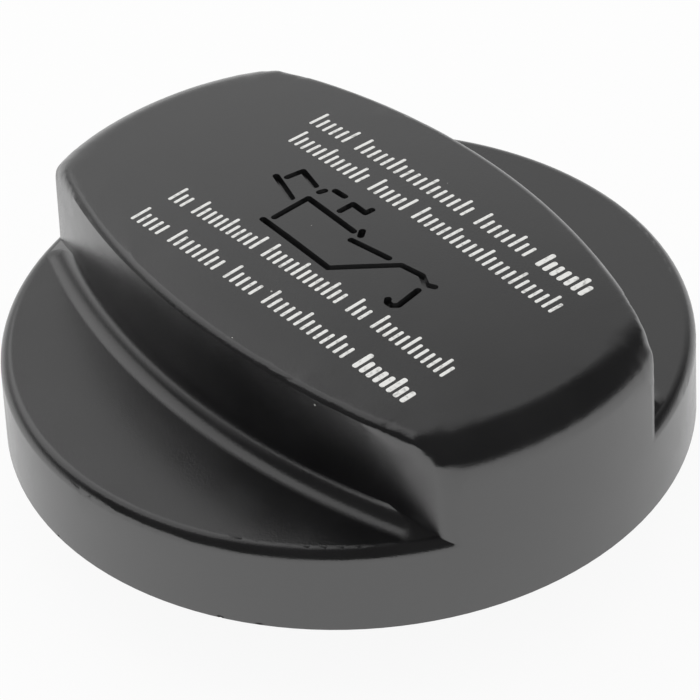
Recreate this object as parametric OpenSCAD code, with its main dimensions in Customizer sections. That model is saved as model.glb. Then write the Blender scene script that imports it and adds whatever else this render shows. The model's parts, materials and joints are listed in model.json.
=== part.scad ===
/* [Skirt] */
// Outer diameter of the skirt at its lower edge
skirt_d = 80; // [70:0.5:90]
// Height of the skirt up to the floor of the finger recesses
rim_h = 10.75; // [9.5:0.25:14]
// Draft of the skirt and of the walls of the grip, in degrees
draft = 1; // [0.25:0.25:3]
// Radius on the rim between the skirt and each finger recess
rim_r = 1.5; // [1:0.25:3]
// Wall thickness of the skirt and of the recess floors
wall = 2.5; // [1.5:0.25:3]
/* [Grip] */
// Height of the grip's crown above the lower edge of the skirt
grip_h = 24.25; // [20:0.25:32]
// Width of the grip across its middle, at the top
grip_w = 44; // [38:0.5:50]
// Radius of the grip's long sides, seen from above
grip_side_r = 95; // [75:1:160]
// Radius of the grip's four upright corners
corner_r = 4; // [3:0.5:8]
// Radius of the dome that crowns the grip
crown_r = 420; // [250:10:900]
// Radius between the grip's ends and its crown
end_r = 4.5; // [3:0.25:6]
// Radius between the grip's long sides and its crown
edge_r = 1.5; // [0.75:0.25:3]
// Radius in the valley between the grip and each finger recess
foot_r = 1.5; // [1:0.25:3]
// Wall thickness of the hollow grip
grip_wall = 3; // [2:0.25:3.5]
/* [Ribs under the cap] */
// Thickness of the ring wall that holds the spigot's flange
collar_t = 2; // [1.5:0.25:2.5]
// Depth of the collar and ribs below the recess floors' underside
collar_h = 4.5; // [3.75:0.25:5]
// Number of stiffening ribs between the collar and the skirt
rib_count = 12; // [8:2:16]
// Thickness of a stiffening rib
rib_t = 1.5; // [1:0.25:2]
// Depth of a stiffening rib below the recess floors' underside
rib_h = 2.5; // [1.5:0.25:3]
// Inward reach of the snap beads that hold the flange
bead_reach = 0.75; // [0.5:0.25:1]
// Length of each snap bead around the collar, in degrees
bead_angle = 32; // [20:2:50]
/* [Spigot] */
// Diameter of the spigot
spigot_d = 38; // [34:0.5:42]
// Distance from the lower edge of the skirt down to the end of the spigot
spigot_drop = 12; // [10:0.5:16]
// Wall thickness of the spigot
spigot_wall = 2.5; // [2:0.25:3.5]
// Chamfer round the end of the spigot
spigot_chamfer = 1; // [0.5:0.25:1.5]
// Diameter of the spigot's flange
flange_d = 54; // [52:0.5:56]
// Thickness of the spigot's flange
flange_t = 2.5; // [2:0.25:3]
// Depth of the stiffening web across the inside of the spigot
web_h = 6; // [3:0.5:12]
// Thickness of the web across the spigot
web_t = 1.75; // [1.25:0.25:2.5]
/* [Bayonet lugs] */
// Number of lugs round the spigot
lug_count = 2; // [2:1:3]
// Outward reach of a lug from the spigot
lug_reach = 3; // [2:0.25:3.5]
// Length of a lug round the spigot, in degrees
lug_angle = 50; // [30:2:60]
// Distance from the end of the spigot up to the lower face of a lug
lug_z = 5.5; // [5:0.25:6.5]
// Height of a lug
lug_h = 4; // [3:0.25:4.5]
// Slope of the lead-in on a lug's upper face, in degrees
lug_slope = 9; // [4:1:14]
/* [Sealing ring] */
// Thickness of the sealing ring
seal_t = 3; // [2:0.25:3.5]
// Width of the sealing ring's section
seal_w = 5.5; // [4:0.25:6]
// Radius on the edges of the sealing ring
seal_r = 0.75; // [0.25:0.25:1]
// Gap between the sealing ring and the spigot
seal_gap = 0.2; // [0.1:0.05:0.4]
/* [Hidden] */
$fn = 96;
// Overlap that joins two shapes of one piece
join = 1;
// Depth by which one surface runs in under another where they blend
blend = 0.01;
skirt_z = spigot_drop;
skirt_r = skirt_d / 2;
rim_z = skirt_z + rim_h;
ceiling_z = rim_z - wall;
crown_z = skirt_z + grip_h;
// Centre of the crown's dome, which every grip surface turns about
dome_z = crown_z - crown_r;
// Fall of the crown from its middle to the edge of the skirt
crown_fall = crown_r - sqrt(crown_r * crown_r - skirt_r * skirt_r);
// Distance from the cap's axis to the upright axis of each long side
side_y = grip_side_r - grip_w / 2;
spigot_r = spigot_d / 2;
flange_r = flange_d / 2;
flange_z = ceiling_z - flange_t;
collar_r = flange_r + collar_t;
seal_in_r = spigot_r + seal_gap;

// Distance from the axis to the skirt's drafted wall at the height z
function skirt_reach(z) = skirt_r - (z - skirt_z) * tan(draft);

// Height above the dome's centre of a round that is tangent to a wall and to a dome of radius dome.
// The wall meets the plane of the dome's centre at reach and leans inward by lean.
function round_z(reach, lean, r, dome) =
    let (t = tan(lean), a = reach - r / cos(lean), k = 1 + t * t)
    (a * t + sqrt(a * a * t * t - k * (a * a - pow(dome - r, 2)))) / k;

// Section of a domed disc about its own axis, with the dome's centre at the origin.
// Its wall passes through reach at height z, leans inward by lean and ends at the height low.
module domed_section(reach, z, lean, r, dome, low) {
    base = reach + z * tan(lean);
    cz = round_z(base, lean, r, dome);
    cx = base - cz * tan(lean) - r / cos(lean);
    wall_end = [cx + r * cos(lean), cz + r * sin(lean)];
    dome_end = [cx, cz] * dome / (dome - r);
    intersection() {
        circle(dome, $fn = 360);
        polygon([[0, low], [base - low * tan(lean), low], wall_end, dome_end, [dome_end[0], dome + join],
            [0, dome + join]]);
    }
    translate([cx, cz])
        circle(r);
}

// Domed disc whose wall is the two ends of the grip, made smaller by inset on every side
module end_disc(inset, low) {
    translate([0, 0, dome_z])
        rotate_extrude()
            domed_section(skirt_r - inset, skirt_z - dome_z, draft, end_r, crown_r, low - dome_z);
}

// Distance from the upright axis of a long side to its drafted wall at the height z
function side_reach(z) = grip_side_r + (crown_z - z) * tan(draft);

// Tall disc whose edge is one long side of the grip
module side_wall(side) {
    translate([0, -side * side_y, 0])
        rotate_extrude()
            polygon([[0, ceiling_z], [side_reach(ceiling_z), ceiling_z],
                [side_reach(crown_z + join), crown_z + join], [0, crown_z + join]]);
}

// Disc with a concave round where one long side of the grip meets the recess floor
module side_foot(side) {
    cz = rim_z + foot_r - blend;
    cx = side_reach(cz) + foot_r / cos(draft) - 2 * blend;
    translate([0, -side * side_y, 0])
        rotate_extrude()
            difference() {
                translate([0, ceiling_z])
                    square([cx, cz - ceiling_z]);
                translate([cx, cz])
                    circle(foot_r);
            }
}

// The two concave rounds at the foot of the grip, which run out inside the rim
module grip_foot() {
    edge = skirt_reach(rim_z) - rim_r;
    intersection() {
        rotate_extrude()
            polygon([[0, ceiling_z], [edge, ceiling_z], [edge, rim_z], [edge - 2 * foot_r, rim_z + foot_r],
                [0, rim_z + foot_r]]);
        side_foot(-1);
        side_foot(1);
    }
}

// What is cut away beyond the round of one upright corner of the grip
module corner_cut() {
    reach_end = skirt_reach(rim_z) - corner_r + blend;
    reach_side = side_reach(rim_z) - corner_r + blend;
    cy = (pow(reach_end, 2) - pow(reach_side, 2) + pow(side_y, 2)) / (2 * side_y);
    cx = sqrt(pow(reach_end, 2) - cy * cy);
    to_end = [cx, cy] / reach_end;
    to_side = [cx, cy - side_y] / reach_side;
    low = ceiling_z - join;
    high = crown_z + join;
    difference() {
        translate([0, 0, low])
            linear_extrude(high - low)
                polygon([[cx, cy], [cx, cy] + 2 * corner_r * to_side,
                    [cx, cy] + 2 * corner_r * (to_side + to_end), [cx, cy] + 2 * corner_r * to_end]);
        translate([cx, cy, low - join])
            cylinder(r1 = corner_r + (rim_z - low + join) * tan(draft),
                r2 = corner_r - (high + join - rim_z) * tan(draft), h = high - low + 2 * join);
    }
}

// Domed disc that rounds the top edge of one long side. It turns about an axis that leans through the
// centre of the crown's dome, so its round follows the crown all along the edge.
module side_edge(side) {
    half_w = grip_w / 2;
    lean = atan(side_y / crown_r);
    reach = half_w * cos(lean) + crown_r * sin(lean);
    level = crown_r * cos(lean) - half_w * sin(lean);
    translate([0, 0, dome_z])
        rotate([side * lean, 0, 0])
            rotate_extrude()
                domed_section(reach, level, 0, edge_r, crown_r + blend, level - 2 * grip_h);
}

// Outside of the grip, from the recess floors' underside up
module grip_body() {
    difference() {
        intersection() {
            end_disc(blend, ceiling_z);
            side_wall(-1);
            side_wall(1);
            side_edge(-1);
            side_edge(1);
        }
        for (end = [0, 1], side = [0, 1])
            mirror([end, 0, 0])
                mirror([0, side, 0])
                    corner_cut();
    }
}

// Upright cylinder whose edge lies inset from one long side of the grip
module core_side(side, inset, low) {
    translate([0, -side * side_y, low - join])
        cylinder(r = side_reach(crown_z) - inset, h = crown_z - low + 2 * join, $fn = 360);
}

// Plain inside form of the grip, which lies inset from its ends, sides and crown
module grip_core(inset, low) {
    high = crown_z - crown_fall - inset;
    edge = high - end_r;
    intersection() {
        rotate_extrude()
            polygon([[0, low], [skirt_reach(low) - inset, low], [skirt_reach(edge) - inset, edge],
                [skirt_reach(edge) - inset - end_r, high], [0, high]]);
        core_side(-1, inset, low);
        core_side(1, inset, low);
    }
}

// Low round body of the cap up to the floor of the finger recesses
module low_disc() {
    cz = rim_z - rim_r;
    cx = skirt_reach(cz) - rim_r / cos(draft);
    rotate_extrude() {
        polygon([[0, skirt_z], [skirt_r, skirt_z],
            [cx + rim_r * cos(draft), cz + rim_r * sin(draft)], [cx, rim_z], [0, rim_z]]);
        translate([cx, cz])
            circle(rim_r);
    }
}

// Hollow under the recess floors
module low_hollow() {
    rotate_extrude()
        polygon([[0, skirt_z - join], [skirt_reach(skirt_z - join) - wall, skirt_z - join],
            [skirt_reach(ceiling_z) - wall, ceiling_z], [0, ceiling_z]]);
}

// Ring wall between two heights, which holds the spigot's flange
module collar(low, high) {
    translate([0, 0, low])
        difference() {
            cylinder(r = collar_r, h = high - low);
            translate([0, 0, -join])
                cylinder(r = flange_r, h = high - low + 2 * join);
        }
}

// Ribs between two heights, from the collar out to the skirt
module ribs(low, high) {
    in_r = collar_r - collar_t / 2;
    out_r = skirt_r - rim_h * tan(draft) - wall / 2;
    for (i = [0:rib_count - 1])
        rotate([0, 0, (i + 0.5) * 360 / rib_count])
            translate([in_r, -rib_t / 2, low])
                cube([out_r - in_r, rib_t, high - low]);
}

// Collar and ribs, which under the grip go on up to the underside of its crown
module underside() {
    collar(ceiling_z - collar_h, rim_z - wall / 2);
    ribs(ceiling_z - rib_h, rim_z - wall / 2);
    intersection() {
        grip_core(grip_wall / 2, ceiling_z - join / 2);
        union() {
            collar(ceiling_z - join, crown_z);
            ribs(ceiling_z - join, crown_z);
        }
    }
}

// Beads inside the collar that the flange snaps past
module snap_beads() {
    for (a = [0:90:270])
        rotate([0, 0, a + 45 - bead_angle / 2])
            rotate_extrude(angle = bead_angle)
                polygon([[flange_r + join / 2, flange_z], [flange_r - bead_reach, flange_z],
                    [flange_r - bead_reach, flange_z - bead_reach / 2],
                    [flange_r + join / 2, flange_z - 2 * bead_reach]]);
}

module cap_shell() {
    color([0.11, 0.11, 0.12]) {
        difference() {
            union() {
                low_disc();
                grip_body();
                grip_foot();
            }
            low_hollow();
            grip_core(grip_wall, ceiling_z - join);
        }
        underside();
        snap_beads();
    }
}

// One lug of the bayonet, with its lead-in cut across the upper face
module lug() {
    half = lug_angle / 2;
    difference() {
        rotate([0, 0, -half])
            rotate_extrude(angle = lug_angle)
                translate([spigot_r - spigot_wall / 2, lug_z])
                    square([lug_reach + spigot_wall / 2, lug_h]);
        translate([spigot_r, 0, lug_z + lug_h])
            rotate([lug_slope, 0, 0])
                translate([0, -skirt_r, 0])
                    cube([lug_reach + join, skirt_r, lug_h]);
    }
}

module bayonet_spigot() {
    color([0.14, 0.14, 0.15]) {
        difference() {
            union() {
                rotate_extrude()
                    polygon([[0, 0], [spigot_r - spigot_chamfer, 0], [spigot_r, spigot_chamfer],
                        [spigot_r, flange_z], [flange_r, flange_z], [flange_r, ceiling_z], [0, ceiling_z]]);
                for (i = [0:lug_count - 1])
                    rotate([0, 0, i * 360 / lug_count])
                        lug();
            }
            translate([0, 0, -join])
                cylinder(r = spigot_r - spigot_wall, h = flange_z + join);
        }
        translate([join / 2 - spigot_r, -web_t / 2, flange_z - web_h])
            cube([2 * spigot_r - join, web_t, web_h + flange_t / 2]);
    }
}

module sealing_ring() {
    color([0.05, 0.05, 0.055])
        translate([0, 0, flange_z - seal_t])
            rotate_extrude()
                translate([seal_in_r, 0]) {
                    translate([seal_r, 0])
                        square([seal_w - 2 * seal_r, seal_t]);
                    translate([0, seal_r])
                        square([seal_w, seal_t - 2 * seal_r]);
                    for (x = [seal_r, seal_w - seal_r], z = [seal_r, seal_t - seal_r])
                        translate([x, z])
                            circle(seal_r);
                }
}

cap_shell();
bayonet_spigot();
sealing_ring();
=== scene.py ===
"""Looks of the oil filler cap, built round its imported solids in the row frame, in metres."""

import json
import logging
import math
from dataclasses import dataclass
from enum import Enum
from typing import Any

import bpy
from mathutils import Matrix, Vector

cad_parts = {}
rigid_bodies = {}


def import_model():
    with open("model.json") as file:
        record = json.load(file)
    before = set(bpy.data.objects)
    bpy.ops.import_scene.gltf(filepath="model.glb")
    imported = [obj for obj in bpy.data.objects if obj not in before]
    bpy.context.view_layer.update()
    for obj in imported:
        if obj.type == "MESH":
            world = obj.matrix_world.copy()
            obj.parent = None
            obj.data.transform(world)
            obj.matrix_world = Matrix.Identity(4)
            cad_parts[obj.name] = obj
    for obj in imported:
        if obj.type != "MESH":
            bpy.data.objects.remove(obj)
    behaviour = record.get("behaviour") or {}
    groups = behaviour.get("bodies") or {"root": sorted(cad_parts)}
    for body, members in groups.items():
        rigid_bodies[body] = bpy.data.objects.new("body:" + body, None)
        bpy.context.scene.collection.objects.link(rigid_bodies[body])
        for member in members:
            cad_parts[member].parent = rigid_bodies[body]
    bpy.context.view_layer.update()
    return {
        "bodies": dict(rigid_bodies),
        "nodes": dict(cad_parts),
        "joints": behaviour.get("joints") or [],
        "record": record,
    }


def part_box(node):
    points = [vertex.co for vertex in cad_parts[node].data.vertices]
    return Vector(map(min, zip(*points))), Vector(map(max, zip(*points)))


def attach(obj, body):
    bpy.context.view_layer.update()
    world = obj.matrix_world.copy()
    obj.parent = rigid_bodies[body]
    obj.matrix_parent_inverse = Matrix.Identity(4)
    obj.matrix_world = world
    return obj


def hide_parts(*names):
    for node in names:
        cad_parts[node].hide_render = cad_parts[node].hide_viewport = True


log = logging.getLogger("oil_filler_cap")

Point2 = tuple[float, float]
Point3 = tuple[float, float, float]

MM = 0.001
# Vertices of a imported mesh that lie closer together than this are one
MERGE_GAP = 0.0005 * MM
# Thickness of the recess floors
FLOOR_T = 2.5 * MM
# Span in which nearly all values of a noise pattern lie
NOISE_SPAN: Point2 = (0.3, 0.7)


class Cut(Enum):
    """What a boolean does with the second shape."""

    CARVE = "DIFFERENCE"
    JOIN = "UNION"
    KEEP = "INTERSECT"


def select_only(*pieces: bpy.types.Object) -> None:
    """Deselects everything, then selects these pieces and makes the first one active.

    Args:
        pieces: the objects to select.
    """
    bpy.ops.object.select_all(action="DESELECT")
    for piece in pieces:
        piece.select_set(True)
    bpy.context.view_layer.objects.active = pieces[0]


def take_active(name: str) -> bpy.types.Object:
    """Names the object that an operator has just added, and its mesh.

    Args:
        name: the name of the new piece.

    Returns:
        The object.
    """
    piece = bpy.context.view_layer.objects.active
    piece.name = name
    piece.data.name = name
    return piece


def settle(piece: bpy.types.Object) -> None:
    """Puts a piece's place, turn and scale into its mesh."""
    select_only(piece)
    bpy.ops.object.transform_apply(location=True, rotation=True, scale=True)


def join_all(pieces: list[bpy.types.Object], name: str) -> bpy.types.Object:
    """Joins pieces into one object.

    Args:
        pieces: the objects, which become one.
        name: the name of the joined piece.

    Returns:
        The joined object.
    """
    select_only(*pieces)
    if len(pieces) > 1:
        bpy.ops.object.join()
    return take_active(name)


def copy_of_node(frame: dict[str, Any], node: str, name: str) -> bpy.types.Object:
    """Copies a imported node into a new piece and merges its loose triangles.

    Args:
        node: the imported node.
        name: the name of the new piece.

    Returns:
        The new piece.
    """
    piece = bpy.data.objects.new(name, frame["nodes"][node].data.copy())
    piece.data.name = name
    piece.data.materials.clear()
    bpy.context.scene.collection.objects.link(piece)
    select_only(piece)
    bpy.ops.mesh.customdata_custom_splitnormals_clear()
    bpy.ops.object.mode_set(mode="EDIT")
    bpy.ops.mesh.select_all(action="SELECT")
    bpy.ops.mesh.remove_doubles(threshold=MERGE_GAP)
    bpy.ops.object.mode_set(mode="OBJECT")
    return piece


def combine(piece: bpy.types.Object, tool: bpy.types.Object, cut: Cut) -> None:
    """Carves a tool shape out of a piece, or joins it on, and removes the tool.

    Args:
        piece: the piece that stays.
        tool: a closed shape, used up.
        cut: what to do with it.
    """
    select_only(piece)
    modifier = piece.modifiers.new("combine", "BOOLEAN")
    modifier.operation = cut.value
    modifier.solver = "MANIFOLD"
    modifier.object = tool
    before = len(piece.data.polygons)
    bpy.ops.object.modifier_apply(modifier=modifier.name)
    after = len(piece.data.polygons)
    log.info("%s: %s %s, %d to %d faces", piece.name, cut.name, tool.name, before, after)
    bpy.data.objects.remove(tool)


def smooth_by_size(piece: bpy.types.Object, angle: float) -> None:
    """Shades a piece smooth between its sharp edges, and lets its large faces set the normals.

    Args:
        piece: the piece to shade.
        angle: edges sharper than this, in degrees, stay sharp.
    """
    select_only(piece)
    bpy.ops.object.shade_smooth_by_angle(angle=math.radians(angle))
    modifier = piece.modifiers.new("normals", "WEIGHTED_NORMAL")
    modifier.mode = "FACE_AREA"
    modifier.keep_sharp = True
    bpy.ops.object.modifier_apply(modifier=modifier.name)


def srgb(code: str) -> tuple[float, float, float, float]:
    """Turns an sRGB hex value into the linear colour that a shader takes.

    Args:
        code: six hex digits after a number sign.

    Returns:
        Linear red, green and blue, and an alpha of 1.
    """
    parts = [int(code[i : i + 2], 16) / 255 for i in (1, 3, 5)]
    linear = [c / 12.92 if c <= 0.04045 else ((c + 0.055) / 1.055) ** 2.4 for c in parts]
    return (linear[0], linear[1], linear[2], 1.0)


def per_mm(size: float) -> float:
    """Texture scale at which a pattern's cells are size millimetres wide, on coordinates in metres."""
    return 1 / (size * MM)


def add_node(
    tree: bpy.types.NodeTree, kind: str, inputs: dict[str | int, Any], **settings: Any
) -> bpy.types.Node:
    """Adds a node, sets its options and fills or links its inputs.

    Args:
        tree: the node tree.
        kind: the node's type name.
        inputs: for each input, a value, or the output socket to link from.
        settings: the node's own options.

    Returns:
        The node.
    """
    node = tree.nodes.new(kind)
    for key, value in settings.items():
        setattr(node, key, value)
    for key, value in inputs.items():
        if isinstance(value, bpy.types.NodeSocket):
            tree.links.new(value, node.inputs[key])
        else:
            node.inputs[key].default_value = value
    return node


def new_material(
    name: str,
) -> tuple[bpy.types.Material, bpy.types.NodeTree, bpy.types.Node, bpy.types.NodeSocket]:
    """Makes an empty node material.

    Args:
        name: the material's name.

    Returns:
        The material, its tree, its shader and the socket of its Object coordinates.
    """
    material = bpy.data.materials.new(name)
    material.use_nodes = True
    tree = material.node_tree
    tree.nodes.clear()
    shader = add_node(tree, "ShaderNodeBsdfPrincipled", {})
    add_node(tree, "ShaderNodeOutputMaterial", {"Surface": shader.outputs[0]})
    coords = add_node(tree, "ShaderNodeTexCoord", {})
    return material, tree, shader, coords.outputs["Object"]


def noise(
    tree: bpy.types.NodeTree, place: bpy.types.NodeSocket, size_mm: float, detail: int
) -> bpy.types.NodeSocket:
    """Adds a noise pattern.

    Args:
        tree: the node tree.
        place: the coordinates.
        size_mm: width of its cells in millimetres.
        detail: how many finer layers it has.

    Returns:
        The noise value's socket.
    """
    inputs = {"Vector": place, "Scale": per_mm(size_mm), "Detail": detail}
    return add_node(tree, "ShaderNodeTexNoise", inputs).outputs[0]


def compute(tree: bpy.types.NodeTree, operation: str, first: Any, second: Any) -> bpy.types.NodeSocket:
    """Computes with two values.

    Args:
        tree: the node tree.
        operation: what to compute.
        first: a number or socket.
        second: a number or socket.

    Returns:
        The result's socket.
    """
    return add_node(tree, "ShaderNodeMath", {0: first, 1: second}, operation=operation).outputs[0]


def mix_colours(tree: bpy.types.NodeTree, factor: Any, first: Any, second: Any) -> bpy.types.NodeSocket:
    """Mixes two colours by a factor.

    Args:
        tree: the node tree.
        factor: a number or socket, 0 for the first colour and 1 for the second.
        first: a colour or socket.
        second: a colour or socket.

    Returns:
        The mixed colour's socket.
    """
    # The mix node's factor is its input 0, and its colours are inputs 6 and 7 and output 2
    mix = add_node(tree, "ShaderNodeMix", {}, data_type="RGBA")
    for number, value in ((0, factor), (6, first), (7, second)):
        if isinstance(value, bpy.types.NodeSocket):
            tree.links.new(value, mix.inputs[number])
        else:
            mix.inputs[number].default_value = value
    return mix.outputs[2]


def spread(
    tree: bpy.types.NodeTree, value: bpy.types.NodeSocket, to: Point2, since: Point2 = NOISE_SPAN
) -> bpy.types.NodeSocket:
    """Maps a value onto a range.

    Args:
        tree: the node tree.
        value: the value's socket.
        to: lowest and highest result.
        since: the values that give them.

    Returns:
        The mapped value's socket.
    """
    span = {"From Min": since[0], "From Max": since[1], "To Min": to[0], "To Max": to[1]}
    return add_node(tree, "ShaderNodeMapRange", {"Value": value, **span}).outputs[0]


def dent(
    tree: bpy.types.NodeTree, height: bpy.types.NodeSocket, depth_mm: float
) -> bpy.types.NodeSocket:
    """Turns a height pattern into a bump.

    Args:
        tree: the node tree.
        height: the pattern.
        depth_mm: its depth in millimetres.

    Returns:
        The bumped normal's socket.
    """
    return add_node(tree, "ShaderNodeBump", {"Height": height, "Distance": depth_mm * MM}).outputs[0]


@dataclass(frozen=True)
class GrainedPolyamide:
    """Black glass-filled polyamide, moulded in a spark-eroded tool.

    The erosion leaves an even fine grain, so the face is a deep grey with a soft sheen that grows
    towards grazing sight, with a little settled dust.
    """

    name: str = "polyamide_black_eroded_grain"
    dark: str = "#0d0d0e"
    light: str = "#141415"
    dust: str = "#b9b9b4"
    ior: float = 2.0
    roughness: Point2 = (0.2, 0.26)
    # The eroded grain is about 0.1 mm, drawn at 0.2 mm so that it shows
    grain_mm: float = 0.2
    grain_depth_mm: float = 0.018
    cloud_mm: float = 7.0
    # Span of the tone: it varies at random in soft clouds, and it is painted shade in the grain's pits
    cloud_and_pit_shade_span: Point2 = (0.12, 0.4)
    speck_mm: float = 3.4
    speck_r: float = 0.035
    speck_share: float = 0.12

    def make(self) -> bpy.types.Material:
        """Builds the material.

        Returns:
            The material.
        """
        material, tree, shader, place = new_material(self.name)
        cloud = noise(tree, place, self.cloud_mm, detail=3)
        grain = noise(tree, place, self.grain_mm, detail=2)
        # Painted shade: the tone is darker where the grain's bump sinks and lighter where it rises, and
        # the cloud varies it at random
        cloud_and_pit_shade = spread(tree, compute(tree, "MULTIPLY", cloud, grain), (0.0, 1.0), self.cloud_and_pit_shade_span)
        plastic = mix_colours(tree, cloud_and_pit_shade, srgb(self.dark), srgb(self.light))
        grid = {"Vector": place, "Scale": per_mm(self.speck_mm)}
        cells = add_node(tree, "ShaderNodeTexVoronoi", grid)
        near = compute(tree, "LESS_THAN", cells.outputs["Distance"], self.speck_r)
        lot = add_node(tree, "ShaderNodeSeparateColor", {0: cells.outputs["Color"]})
        rare = compute(tree, "LESS_THAN", lot.outputs[0], self.speck_share)
        speck = compute(tree, "MULTIPLY", near, rare)
        dusty = mix_colours(tree, speck, plastic, srgb(self.dust))
        tree.links.new(dusty, shader.inputs["Base Color"])
        tree.links.new(spread(tree, cloud, self.roughness), shader.inputs["Roughness"])
        tree.links.new(dent(tree, grain, self.grain_depth_mm), shader.inputs["Normal"])
        shader.inputs["IOR"].default_value = self.ior
        return material


@dataclass(frozen=True)
class PlainPolyamide:
    """Black polyamide from a polished tool, as the spigot has.

    It is a little glossier than the grained shell, with faint flow marks along the spigot.
    """

    name: str = "polyamide_black_tool_polished"
    dark: str = "#232325"
    light: str = "#2f2f32"
    ior: float = 1.53
    roughness: Point2 = (0.3, 0.42)
    flow_mm: float = 1.6
    flow_stretch: float = 0.15

    def make(self) -> bpy.types.Material:
        """Builds the material.

        Returns:
            The material.
        """
        material, tree, shader, place = new_material(self.name)
        stretch = {"Vector": place, "Scale": (1.0, 1.0, self.flow_stretch)}
        along = add_node(tree, "ShaderNodeMapping", stretch).outputs[0]
        flow = noise(tree, along, self.flow_mm, detail=4)
        colour = mix_colours(tree, flow, srgb(self.dark), srgb(self.light))
        tree.links.new(colour, shader.inputs["Base Color"])
        tree.links.new(spread(tree, flow, self.roughness), shader.inputs["Roughness"])
        shader.inputs["IOR"].default_value = self.ior
        return material


@dataclass(frozen=True)
class NitrileRubber:
    """Black nitrile rubber, pressed in a fine blasted mould.

    It is darker and duller than the plastic, with a pale bloom in soft clouds.
    """

    name: str = "rubber_nitrile_black"
    dark: str = "#161617"
    bloom: str = "#2a2a29"
    roughness: Point2 = (0.55, 0.72)
    cloud_mm: float = 3.0
    # The blasted skin is about 0.05 mm, drawn at 0.3 mm so that it shows
    skin_mm: float = 0.3
    skin_depth_mm: float = 0.01

    def make(self) -> bpy.types.Material:
        """Builds the material.

        Returns:
            The material.
        """
        material, tree, shader, place = new_material(self.name)
        cloud = noise(tree, place, self.cloud_mm, detail=4)
        skin = noise(tree, place, self.skin_mm, detail=2)
        colour = mix_colours(tree, cloud, srgb(self.dark), srgb(self.bloom))
        tree.links.new(colour, shader.inputs["Base Color"])
        tree.links.new(spread(tree, cloud, self.roughness), shader.inputs["Roughness"])
        tree.links.new(dent(tree, skin, self.skin_depth_mm), shader.inputs["Normal"])
        return material


@dataclass(frozen=True)
class PadPrint:
    """White pad-printing ink on the grained plastic.

    It is matt and covers well, and the grain breaks it up into slightly greyer spots.
    """

    name: str = "ink_white_pad_printed"
    white: str = "#f4f4f1"
    worn: str = "#b4b4b1"
    roughness: Point2 = (0.5, 0.65)
    spot_mm: float = 0.5
    wear_span: Point2 = (0.52, 0.75)

    def make(self) -> bpy.types.Material:
        """Builds the material.

        Returns:
            The material.
        """
        material, tree, shader, place = new_material(self.name)
        spots = noise(tree, place, self.spot_mm, detail=3)
        wear = spread(tree, spots, (0.0, 1.0), self.wear_span)
        colour = mix_colours(tree, wear, srgb(self.white), srgb(self.worn))
        tree.links.new(colour, shader.inputs["Base Color"])
        tree.links.new(spread(tree, spots, self.roughness), shader.inputs["Roughness"])
        return material


@dataclass(frozen=True)
class PaleTable:
    """Smooth white board that the cap stands on.

    The camera sees it nearly white, gloss sees it white, and the cap's shadow still shows on it.
    """

    name: str = "board_white_matt"
    colour: str = "#f4f4f3"
    camera_share: float = 0.92
    mirror_share: float = 1.0
    fibre_mm: float = 3.0
    roughness: Point2 = (0.7, 0.8)
    gloss_level: float = 0.1

    def make(self) -> bpy.types.Material:
        """Builds the material.

        Returns:
            The material.
        """
        material, tree, shader, place = new_material(self.name)
        fibre = noise(tree, place, self.fibre_mm, detail=2)
        tree.links.new(spread(tree, fibre, self.roughness), shader.inputs["Roughness"])
        shader.inputs["Base Color"].default_value = srgb(self.colour)
        shader.inputs["Specular IOR Level"].default_value = self.gloss_level
        white = add_node(tree, "ShaderNodeEmission", {"Color": srgb("#ffffff"), "Strength": 1.0})
        path = add_node(tree, "ShaderNodeLightPath", {})
        seen = compute(tree, "MULTIPLY", path.outputs["Is Camera Ray"], self.camera_share)
        mirrored = compute(tree, "MULTIPLY", path.outputs["Is Glossy Ray"], self.mirror_share)
        share = compute(tree, "MAXIMUM", seen, mirrored)
        sides = {0: share, 1: shader.outputs[0], 2: white.outputs[0]}
        both = add_node(tree, "ShaderNodeMixShader", sides)
        output = next(node for node in tree.nodes if node.type == "OUTPUT_MATERIAL")
        tree.links.new(both.outputs[0], output.inputs["Surface"])
        return material


@dataclass(frozen=True)
class Crown:
    """The dome on top of the grip, which the sign and the print lie on."""

    top: float
    radius: float = 420 * MM

    def height(self, x: float, y: float) -> float:
        """Height of the dome over a point.

        Args:
            x: place along the grip bar, in metres.
            y: place across it, in metres.

        Returns:
            The height, in metres.
        """
        return self.top - self.radius + math.sqrt(self.radius**2 - x**2 - y**2)

    def lay(self, x: float, y: float, turn: float, lift: float) -> Matrix:
        """Places a flat shape on the dome.

        Args:
            x: place along the grip bar, in metres.
            y: place across it, in metres.
            turn: turn about the dome's normal, in radians.
            lift: distance of the shape's origin above the dome, in metres.

        Returns:
            The matrix that moves the shape from the origin.
        """
        normal = Vector((x, y, self.height(x, y) - self.top + self.radius)).normalized()
        tilt = Vector((0, 0, 1)).rotation_difference(normal).to_matrix().to_4x4()
        place = Vector((x, y, self.height(x, y))) + normal * lift
        return Matrix.Translation(place) @ tilt @ Matrix.Rotation(turn, 4, "Z")


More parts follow.
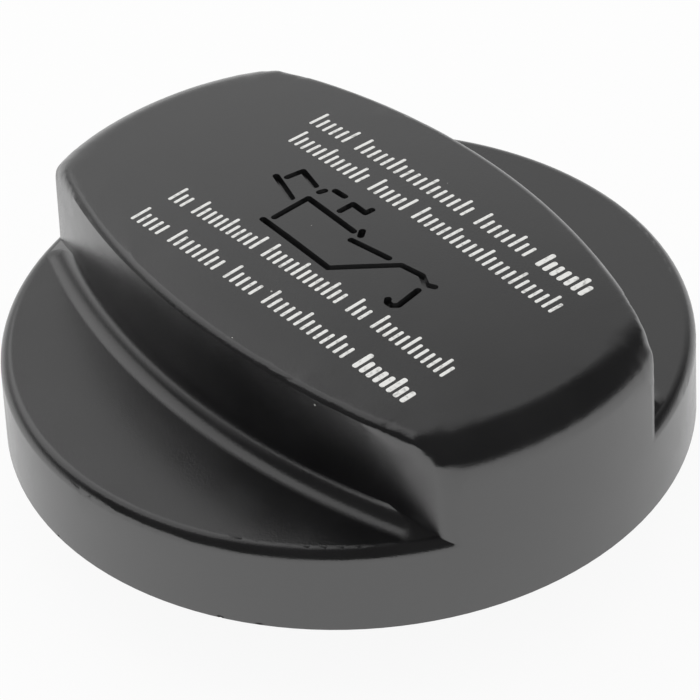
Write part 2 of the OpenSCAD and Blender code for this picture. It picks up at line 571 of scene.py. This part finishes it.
@dataclass(frozen=True)
class CapShell:
    """The moulded shell: skirt, finger recesses and grip, with the oil can sign sunk into the crown."""

    crown: Crown
    # Heights of the recess floors' underside and top
    floor_z: float
    rim_z: float
    smooth_angle: float = 28.0
    # The sign's strokes, each a groove with leaning walls
    sign_w: float = 0.86 * MM
    sign_depth: float = 0.75 * MM
    sign_draft: float = 0.25 * MM
    stroke_steps: int = 14
    # The oil can in lines: handle, lid, knob, body, spout and drop, in millimetres on the crown
    sign: tuple[tuple[Point2, ...], ...] = (
        ((-13.7, 1.0), (-8.9, -0.4)),
        ((-12.6, 1.8), (-12.4, 3.9), (-9.0, 3.1)),
        ((-7.7, 2.7), (-7.55, 3.3)),
        ((-6.7, 4.2), (-5.1, 4.3)),
        ((-3.2, 2.2), (-3.3, 4.1), (-1.0, 4.1), (-1.0, 5.0)),
        ((-7.2, -4.1), (-7.6, 1.0), (0.9, 0.9)),
        ((1.5, 1.7), (2.1, 1.0)),
        ((-7.8, -5.3), (4.4, -5.4), (9.3, 1.1), (12.2, 1.7), (13.8, 1.0), (14.7, 1.5)),
        ((2.0, -0.3), (7.4, 0.8)),
        ((13.1, -3.8), (13.5, -4.2), (14.2, -4.2), (14.7, -3.6), (14.0, -0.3)),
    )
    # Small nicks by the lower edge of the skirt: azimuth in degrees, half length and depth in mm
    nicks: tuple[Point3, ...] = ((-92.7, 0.2, 0.12), (-58.7, 0.4, 0.2), (-52.3, 0.45, 0.12))
    nick_r: float = 40 * MM
    nick_z: float = 12.18 * MM
    nick_detail: int = 3
    # The ring of ejector marks under the recess floors
    pin_r: float = 1.5 * MM
    pin_depth: float = 0.15 * MM
    pin_ring_r: float = 33.2 * MM
    pin_count: int = 12
    pin_steps: int = 28
    # Each long side of the grip: its upright axis, and the radius at its foot
    side_y: float = 73 * MM
    side_reach: float = 95.2 * MM
    # The soft round at the foot of each long side: how far it bites into the wall and sinks into
    # the floor, how deep it is rooted, and the cone on the cap's axis in which it runs out
    valley_r: float = 2.6 * MM
    valley_bite: float = 0.05 * MM
    valley_sink: float = 0.004 * MM
    valley_root: float = 1.4 * MM
    valley_end: float = 38.6 * MM
    valley_taper: float = 2.0
    valley_steps: int = 360
    valley_rings: int = 56
    # The grip's four top corners: where they are, how far from them the last and the first round
    # of relaxing reach, the bands along the edges that take part, and the mesh that this needs
    corner_at: Point2 = (35.2 * MM, 15.3 * MM)
    corner_reach: Point2 = (4.5 * MM, 8.0 * MM)
    end_reach: float = 39.6 * MM
    edge_low: float = 29.5 * MM
    edge_side: float = 2.8 * MM
    edge_end: float = 5.4 * MM
    edge_skin: float = 2.0 * MM
    edge_step: float = 0.6 * MM
    edge_margin: float = 2.0 * MM
    edge_passes: int = 14
    edge_rounds: int = 12
    edge_turns: int = 2
    edge_pull: float = 0.5

    def build(self, frame: dict[str, Any]) -> bpy.types.Object:
        """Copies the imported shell, softens its corners and valleys and carves the fine marks.


        Returns:
            The shell.
        """
        shell = copy_of_node(frame, "cap_shell", "moulded_shell")
        self.relax_corners(shell)
        for side in (-1, 1):
            combine(shell, self.valley(side), Cut.JOIN)
        for line in self.sign:
            for start, end in zip(line, line[1:]):
                combine(shell, self.groove(start, end), Cut.CARVE)
        for azimuth, half, depth in self.nicks:
            combine(shell, self.nick(azimuth, half * MM, depth * MM), Cut.CARVE)
        for i in range(self.pin_count):
            combine(shell, self.ejector_mark(i * 2 * math.pi / self.pin_count), Cut.CARVE)
        smooth_by_size(shell, self.smooth_angle)
        return shell

    def at_corner(self, place: Vector, reach: float) -> bool:
        """Tells whether a place on the shell lies by one of the grip's top corners, on the outside.

        Args:
            place: the place, in metres.
            reach: how far from the corner it may be, seen from above.

        Returns:
            True if it does.
        """
        away = math.hypot(abs(place.x) - self.corner_at[0], abs(place.y) - self.corner_at[1])
        if place.z < self.edge_low or away > reach:
            return False
        top = self.crown.height(place.x, place.y) - place.z
        side = self.side_reach - math.hypot(place.x, abs(place.y) + self.side_y)
        end = self.end_reach - math.hypot(place.x, place.y)
        if min(top, side, end) > self.edge_skin:
            return False
        by_side = max(top, side) < self.edge_side
        by_end = max(top, end) < self.edge_end
        by_corner = max(side, end) < self.edge_side
        return by_side or by_end or by_corner

    def relax_corners(self, shell: bpy.types.Object) -> None:
        """Divides the mesh finely round the grip's top corners and relaxes it, most at the corners.

        Args:
            shell: the shell.
        """
        select_only(shell)
        mesh = shell.data
        closest, widest = self.corner_reach
        for _ in range(self.edge_passes):
            inside = [self.at_corner(vertex.co, widest + self.edge_margin) for vertex in mesh.vertices]
            self.choose(mesh, [])
            count = 0
            for edge in mesh.edges:
                first, second = edge.vertices
                if not (inside[first] or inside[second]):
                    continue
                if (mesh.vertices[first].co - mesh.vertices[second].co).length > self.edge_step:
                    edge.select = True
                    count += 1
            if not count:
                break
            bpy.ops.object.mode_set(mode="EDIT")
            bpy.ops.mesh.subdivide(number_cuts=1)
            bpy.ops.mesh.select_all(action="SELECT")
            bpy.ops.mesh.quads_convert_to_tris(quad_method="SHORTEST_DIAGONAL", ngon_method="BEAUTY")
            bpy.ops.object.mode_set(mode="OBJECT")
        longest = [0.0] * len(mesh.vertices)
        for edge in mesh.edges:
            first, second = edge.vertices
            length = (mesh.vertices[first].co - mesh.vertices[second].co).length
            longest[first] = max(longest[first], length)
            longest[second] = max(longest[second], length)
        for number in range(self.edge_rounds):
            reach = widest + (closest - widest) * number / (self.edge_rounds - 1)
            chosen = [
                vertex.index
                for vertex in mesh.vertices
                if longest[vertex.index] < 2 * self.edge_step and self.at_corner(vertex.co, reach)
            ]
            self.choose(mesh, chosen)
            bpy.ops.object.mode_set(mode="EDIT")
            bpy.ops.mesh.vertices_smooth(factor=self.edge_pull, repeat=self.edge_turns)
            bpy.ops.object.mode_set(mode="OBJECT")
        log.info("%s: relaxed its corners, %d vertices in all", shell.name, len(mesh.vertices))

    def choose(self, mesh: bpy.types.Mesh, chosen: list[int]) -> None:
        """Selects only these vertices of a mesh, in edge mode if there are none.

        Args:
            mesh: the mesh.
            chosen: the vertices' numbers.
        """
        bpy.ops.object.mode_set(mode="EDIT")
        bpy.ops.mesh.select_mode(type="VERT" if chosen else "EDGE")
        bpy.ops.mesh.select_all(action="DESELECT")
        bpy.ops.object.mode_set(mode="OBJECT")
        for number in chosen:
            mesh.vertices[number].select = True

    def valley(self, side: int) -> bpy.types.Object:
        """Makes the concave round between one long side of the grip and its recess floor.

        Args:
            side: 1 for the side towards +Y, -1 for the other.

        Returns:
            A closed shape that reaches a little into the wall and the floor.
        """
        reach = self.side_reach + self.valley_r - self.valley_bite
        low = self.rim_z - self.valley_root
        high = self.rim_z + self.valley_r
        strip = self.drum("valley", reach, -side * self.side_y, low, high)
        bpy.ops.object.select_all(action="DESELECT")
        bpy.ops.mesh.primitive_torus_add(
            major_segments=self.valley_steps,
            minor_segments=self.valley_rings,
            major_radius=reach,
            minor_radius=self.valley_r,
            location=(0.0, -side * self.side_y, high - self.valley_sink),
        )
        hollow = take_active("valley_hollow")
        settle(hollow)
        combine(strip, hollow, Cut.CARVE)
        inside = self.side_reach - self.valley_root
        below, above = low - MM, high + MM
        combine(strip, self.drum("valley_inside", inside, -side * self.side_y, below, above), Cut.CARVE)
        combine(strip, self.drum("valley_bounds", self.valley_end, 0.0, below, above), Cut.KEEP)
        combine(strip, self.taper(below, above), Cut.KEEP)
        return strip

    def taper(self, low: float, high: float) -> bpy.types.Object:
        """Makes the upright cone inside which the valleys' rounds end, so that they run out at the rim.

        Args:
            low: height of its lower face.
            high: height of its upper face.

        Returns:
            A closed shape.
        """
        bpy.ops.object.select_all(action="DESELECT")
        bpy.ops.mesh.primitive_cone_add(
            vertices=self.valley_steps,
            radius1=self.valley_end + (self.rim_z - low) * self.valley_taper,
            radius2=self.valley_end - (high - self.rim_z) * self.valley_taper,
            depth=high - low,
            location=(0.0, 0.0, (low + high) / 2),
        )
        piece = take_active("valley_taper")
        settle(piece)
        return piece

    def drum(self, name: str, radius: float, y: float, low: float, high: float) -> bpy.types.Object:
        """Makes an upright cylinder.

        Args:
            name: its name.
            radius: its radius.
            y: place of its axis across the grip.
            low: height of its lower face.
            high: height of its upper face.

        Returns:
            A closed shape.
        """
        bpy.ops.object.select_all(action="DESELECT")
        bpy.ops.mesh.primitive_cylinder_add(
            vertices=self.valley_steps,
            radius=radius,
            depth=high - low,
            location=(0.0, y, (low + high) / 2),
        )
        piece = take_active(name)
        settle(piece)
        return piece

    def groove(self, start: Point2, end: Point2) -> bpy.types.Object:
        """Makes the tool for one straight stroke of the sign, wider at the top than at its bottom.

        Args:
            start: one end of the stroke, in millimetres.
            end: the other end.

        Returns:
            A closed shape.
        """
        bpy.ops.object.select_all(action="DESELECT")
        ends = []
        for x, y in (start, end):
            bpy.ops.mesh.primitive_cone_add(
                vertices=self.stroke_steps,
                radius1=self.sign_w / 2 - self.sign_draft,
                radius2=self.sign_w / 2 + self.sign_draft,
                depth=2 * self.sign_depth,
                location=(x * MM, y * MM, self.crown.height(x * MM, y * MM)),
            )
            ends.append(take_active("stroke_end"))
            settle(ends[-1])
        tool = join_all(ends, "stroke")
        bpy.ops.object.mode_set(mode="EDIT")
        bpy.ops.mesh.select_all(action="SELECT")
        bpy.ops.mesh.convex_hull()
        bpy.ops.object.mode_set(mode="OBJECT")
        return tool

    def nick(self, azimuth: float, half: float, depth: float) -> bpy.types.Object:
        """Makes the tool for one nick in the lower edge of the skirt.

        Args:
            azimuth: place round the skirt, in degrees.
            half: half the nick's length.
            depth: how far it reaches up and in.

        Returns:
            A closed shape.
        """
        bpy.ops.object.select_all(action="DESELECT")
        bpy.ops.mesh.primitive_ico_sphere_add(subdivisions=self.nick_detail, radius=1.0)
        tool = take_active("nick")
        turn = Matrix.Rotation(math.radians(azimuth), 4, "Z")
        size = Matrix.Diagonal((depth, half, depth, 1.0))
        tool.matrix_world = turn @ Matrix.Translation((self.nick_r, 0.0, self.nick_z)) @ size
        settle(tool)
        return tool

    def ejector_mark(self, turn: float) -> bpy.types.Object:
        """Makes the tool for the shallow round mark of one ejector pin under the recess floors.

        Args:
            turn: place round the cap, in radians.

        Returns:
            A closed shape.
        """
        bpy.ops.object.select_all(action="DESELECT")
        bpy.ops.mesh.primitive_cylinder_add(
            vertices=self.pin_steps,
            radius=self.pin_r,
            depth=2 * self.pin_depth,
            location=(self.pin_ring_r * math.cos(turn), self.pin_ring_r * math.sin(turn), self.floor_z),
        )
        tool = take_active("ejector_mark")
        settle(tool)
        return tool


@dataclass(frozen=True)
class PrintRow:
    """One row of the scale: its ends on the crown and the share of it that each group takes."""

    start: Point2
    end: Point2
    groups: tuple[int, ...]
    bold_last: bool


@dataclass(frozen=True)
class PrintedScale:
    """White pad print on the crown: four rows of plain upright ticks in groups, as on a scale."""

    crown: Crown
    rows: tuple[PrintRow, ...] = (
        PrintRow((-18.9, -16.2), (27.8, -13.3), (5, 8, 5, 13, 8), True),
        PrintRow((-18.9, -10.9), (27.3, -7.5), (3, 11, 13, 3, 12), False),
        PrintRow((-19.0, 6.4), (26.3, 8.6), (12, 6, 22), False),
        PrintRow((-20.5, 10.6), (26.0, 13.2), (6, 17, 8, 7), True),
    )
    tick_w: float = 0.42 * MM
    bold_w: float = 0.66 * MM
    short_h: float = 2.1 * MM
    tall_h: float = 2.9 * MM
    tall_every: int = 5
    # Rounding of a tick's corners, as a share of its width
    round_share: float = 0.4
    round_steps: int = 3
    ink_t: float = 0.07 * MM
    lift: float = 0.005 * MM
    smooth_angle: float = 40.0

    def build(self) -> bpy.types.Object:
        """Builds all rows as one piece.

        Returns:
            The print.
        """
        ticks = {
            (width, height): self.tick(width, height)
            for width in (self.tick_w, self.bold_w)
            for height in (self.short_h, self.tall_h)
        }
        placed = [piece for row in self.rows for piece in self.row(row, ticks)]
        for pattern in ticks.values():
            bpy.data.objects.remove(pattern)
        print_piece = join_all(placed, "printed_scale")
        settle(print_piece)
        smooth_by_size(print_piece, self.smooth_angle)
        return print_piece

    def tick(self, width: float, height: float) -> bpy.types.Object:
        """Models one tick at the origin, standing on its lower end, with rounded corners.

        Args:
            width: its width.
            height: its height.

        Returns:
            The tick.
        """
        bpy.ops.object.select_all(action="DESELECT")
        bpy.ops.mesh.primitive_cube_add(size=1.0, location=(0.0, height / 2, 0.0))
        piece = take_active("tick")
        piece.scale = (width, height, self.ink_t)
        settle(piece)
        bpy.ops.object.mode_set(mode="EDIT")
        bpy.ops.mesh.select_mode(type="EDGE")
        bpy.ops.mesh.select_all(action="DESELECT")
        bpy.ops.object.mode_set(mode="OBJECT")
        for edge in piece.data.edges:
            first, second = (piece.data.vertices[i].co for i in edge.vertices)
            edge.select = abs(first.z - second.z) > self.ink_t / 2
        bpy.ops.object.mode_set(mode="EDIT")
        offset = width * self.round_share
        bpy.ops.mesh.bevel(offset=offset, segments=self.round_steps, affect="EDGES")
        bpy.ops.object.mode_set(mode="OBJECT")
        return piece

    def row(
        self, row: PrintRow, ticks: dict[tuple[float, float], bpy.types.Object]
    ) -> list[bpy.types.Object]:
        """Copies ticks along one row.

        Args:
            row: the row.
            ticks: the modelled ticks by width and height.

        Returns:
            The copies, each with its own mesh.
        """
        start, end = Vector(row.start) * MM, Vector(row.end) * MM
        along = end - start
        turn = math.atan2(along.y, along.x)
        slots = sum(row.groups) + len(row.groups) - 1
        copies: list[bpy.types.Object] = []
        slot = 0
        for number, group in enumerate(row.groups):
            bold = row.bold_last and number == len(row.groups) - 1
            for i in range(group):
                width = self.bold_w if bold else self.tick_w
                height = self.tall_h if i % self.tall_every == 0 else self.short_h
                place = start + along * (slot + 0.5) / slots
                mesh = ticks[(width, height)].data.copy()
                copy = bpy.data.objects.new("tick", mesh)
                bpy.context.scene.collection.objects.link(copy)
                copy.matrix_world = self.crown.lay(place.x, place.y, turn, self.lift)
                copies.append(copy)
                slot += 1
            slot += 1
        return copies


@dataclass(frozen=True)
class BayonetSpigot:
    """The spigot with its flange and lugs, with softened edges."""

    edge_r: float = 0.25 * MM
    edge_steps: int = 2
    # Angles in degrees: up to the first, faces are merged; over the second, edges are rounded; up
    # to the third, faces are shaded as one
    flat_angle: float = 0.4
    edge_angle: float = 40.0
    smooth_angle: float = 30.0

    def build(self, frame: dict[str, Any]) -> bpy.types.Object:
        """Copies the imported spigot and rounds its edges.


        Returns:
            The spigot.
        """
        spigot = copy_of_node(frame, "bayonet_spigot", "lugged_spigot")
        bpy.ops.object.mode_set(mode="EDIT")
        bpy.ops.mesh.select_all(action="SELECT")
        bpy.ops.mesh.dissolve_limited(angle_limit=math.radians(self.flat_angle))
        bpy.ops.object.mode_set(mode="OBJECT")
        modifier = spigot.modifiers.new("soft edges", "BEVEL")
        modifier.width = self.edge_r
        modifier.segments = self.edge_steps
        modifier.limit_method = "ANGLE"
        modifier.angle_limit = math.radians(self.edge_angle)
        bpy.ops.object.modifier_apply(modifier=modifier.name)
        smooth_by_size(spigot, self.smooth_angle)
        return spigot


@dataclass(frozen=True)
class SealRing:
    """The sealing ring, with the fine moulding line round its outside."""

    line_r: float = 0.1 * MM
    line_steps: int = 144
    line_rings: int = 8
    smooth_angle: float = 30.0

    def build(self, frame: dict[str, Any]) -> bpy.types.Object:
        """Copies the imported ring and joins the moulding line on.


        Returns:
            The ring.
        """
        ring = copy_of_node(frame, "sealing_ring", "seal_ring")
        low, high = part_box("sealing_ring")
        bpy.ops.object.select_all(action="DESELECT")
        bpy.ops.mesh.primitive_torus_add(
            major_segments=self.line_steps,
            minor_segments=self.line_rings,
            major_radius=high.x,
            minor_radius=self.line_r,
            location=(0.0, 0.0, (low.z + high.z) / 2),
        )
        line = take_active("moulding_line")
        settle(line)
        combine(ring, line, Cut.JOIN)
        smooth_by_size(ring, self.smooth_angle)
        return ring


@dataclass(frozen=True)
class Studio:
    """Pale floor, soft light and the camera at the photograph's viewing angle."""

    # The camera, as fitted to the photograph: angles in degrees, places in metres
    aim_z: float
    lens_mm: float = 205.714
    sensor_mm: float = 36.0
    distance: float = 0.464597
    look_azimuth: float = 143.9
    elevation: float = 37.8529
    roll: float = -2.9029
    across: float = -0.0000988
    upward: float = 0.00572644
    clip_end: float = 20.0
    board_size: float = 8.0
    # Light that matt surfaces get from every side, at which a colour renders about as it is written
    plain_strength: float = 0.8
    # What gloss sees: a dim room, a pale backdrop behind the cap, and a white screen that stands
    # low before that backdrop
    pale_azimuth: float = 153.0
    near_strength: float = 0.06
    far_strength: float = 0.64
    room_span: Point2 = (0.45, 0.85)
    screen_span: Point2 = (-0.1, 0.5)
    screen_top: float = 0.45
    # A large soft lamp behind the cap, on its left, gives the shadow on the board
    lamp_place: Point3 = (-0.55, -0.1, 0.75)
    lamp_size: float = 0.8
    lamp_power: float = 1.2

    def build(self) -> None:
        """Builds the floor, the world, the lamp and the camera."""
        bpy.context.scene.view_settings.view_transform = "Standard"
        self.floor()
        self.world()
        self.lamp()
        self.camera()

    def floor(self) -> None:
        """Lays the board under the cap."""
        bpy.ops.object.select_all(action="DESELECT")
        bpy.ops.mesh.primitive_plane_add(size=self.board_size)
        board = take_active("board")
        board.data.materials.append(PaleTable().make())

    def world(self) -> None:
        """Surrounds the cap with plain light, white to the camera and like a studio in gloss."""
        world = bpy.data.worlds.new("soft_surround")
        bpy.context.scene.world = world
        world.use_nodes = True
        tree = world.node_tree
        tree.nodes.clear()
        way = add_node(tree, "ShaderNodeTexCoord", {}).outputs["Generated"]
        azimuth = math.radians(self.pale_azimuth)
        pale_side = (math.cos(azimuth), math.sin(azimuth), 0.0)
        depth = add_node(tree, "ShaderNodeVectorMath", {0: way, 1: pale_side}, operation="DOT_PRODUCT")
        facing = depth.outputs["Value"]
        room = spread(tree, facing, (self.near_strength, self.far_strength), self.room_span)
        reach = spread(tree, facing, (0.0, 1.0), self.screen_span)
        height = add_node(tree, "ShaderNodeSeparateXYZ", {0: way}).outputs["Z"]
        low = spread(tree, height, (1.0, 0.0), (0.0, self.screen_top))
        walls = compute(tree, "MAXIMUM", compute(tree, "MULTIPLY", low, reach), room)
        path = add_node(tree, "ShaderNodeLightPath", {})
        parts = {0: path.outputs["Is Glossy Ray"], 2: self.plain_strength, 3: walls}
        shown = add_node(tree, "ShaderNodeMix", parts).outputs[0]
        strength = compute(tree, "MAXIMUM", path.outputs["Is Camera Ray"], shown)
        light = add_node(tree, "ShaderNodeBackground", {"Color": srgb("#ffffff"), "Strength": strength})
        add_node(tree, "ShaderNodeOutputWorld", {"Surface": light.outputs[0]})

    def lamp(self) -> None:
        """Adds the square soft lamp, which faces the cap."""
        bpy.ops.object.light_add(type="AREA", location=self.lamp_place)
        lamp = bpy.context.view_layer.objects.active
        lamp.name = "soft_lamp"
        lamp.data.size = self.lamp_size
        lamp.data.energy = self.lamp_power
        aim = Vector((0, 0, self.aim_z)) - Vector(self.lamp_place)
        lamp.rotation_euler = aim.to_track_quat("-Z", "Y").to_euler()

    def camera(self) -> None:
        """Adds the camera where the fit to the photograph puts it."""
        azimuth, elevation = math.radians(self.look_azimuth), math.radians(self.elevation)
        roll = math.radians(self.roll)
        level_part = math.cos(elevation)
        forward = Vector(
            (level_part * math.cos(azimuth), level_part * math.sin(azimuth), -math.sin(elevation))
        )
        level = forward.cross(Vector((0, 0, 1))).normalized()
        upright = level.cross(forward)
        right = math.cos(roll) * level + math.sin(roll) * upright
        up = math.cos(roll) * upright - math.sin(roll) * level
        shift = right * self.across + up * self.upward
        place = Vector((0, 0, self.aim_z)) - forward * self.distance + shift
        bpy.ops.object.camera_add()
        camera = bpy.context.view_layer.objects.active
        camera.name = "photo_camera"
        turn = Matrix((right, up, -forward)).transposed().to_4x4()
        camera.matrix_world = Matrix.Translation(place) @ turn
        camera.data.lens = self.lens_mm
        camera.data.sensor_width = self.sensor_mm
        camera.data.clip_end = self.clip_end
        bpy.context.scene.camera = camera


def dress(
    piece: bpy.types.Object, material: bpy.types.Material, node: str | None
) -> None:
    """Gives a piece its material, lets it ride with the cap and reports it.

    Args:
        piece: the piece.
        material: its finish.
        node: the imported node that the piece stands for, if any.
    """
    piece.data.materials.clear()
    piece.data.materials.append(material)
    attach(piece, "root")
    if node:
        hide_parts(node)
    log.info("%s: %d faces in %s", piece.name, len(piece.data.polygons), material.name)


def main() -> None:
    """Builds the cap's pieces and the studio in order, from the boxes of the imported shell and spigot.
    """
    logging.basicConfig(level=logging.INFO, format="%(name)s: %(message)s")
    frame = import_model()
    low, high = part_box("cap_shell")
    spigot_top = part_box("bayonet_spigot")[1].z
    crown = Crown(top=high.z)
    studio = Studio(aim_z=low.z)
    studio.build()
    shell = CapShell(crown, spigot_top, spigot_top + FLOOR_T).build(frame)
    dress(shell, GrainedPolyamide().make(), "cap_shell")
    dress(PrintedScale(crown).build(), PadPrint().make(), None)
    dress(BayonetSpigot().build(frame), PlainPolyamide().make(), "bayonet_spigot")
    dress(SealRing().build(frame), NitrileRubber().make(), "sealing_ring")


if __name__ == "__main__":
    main()
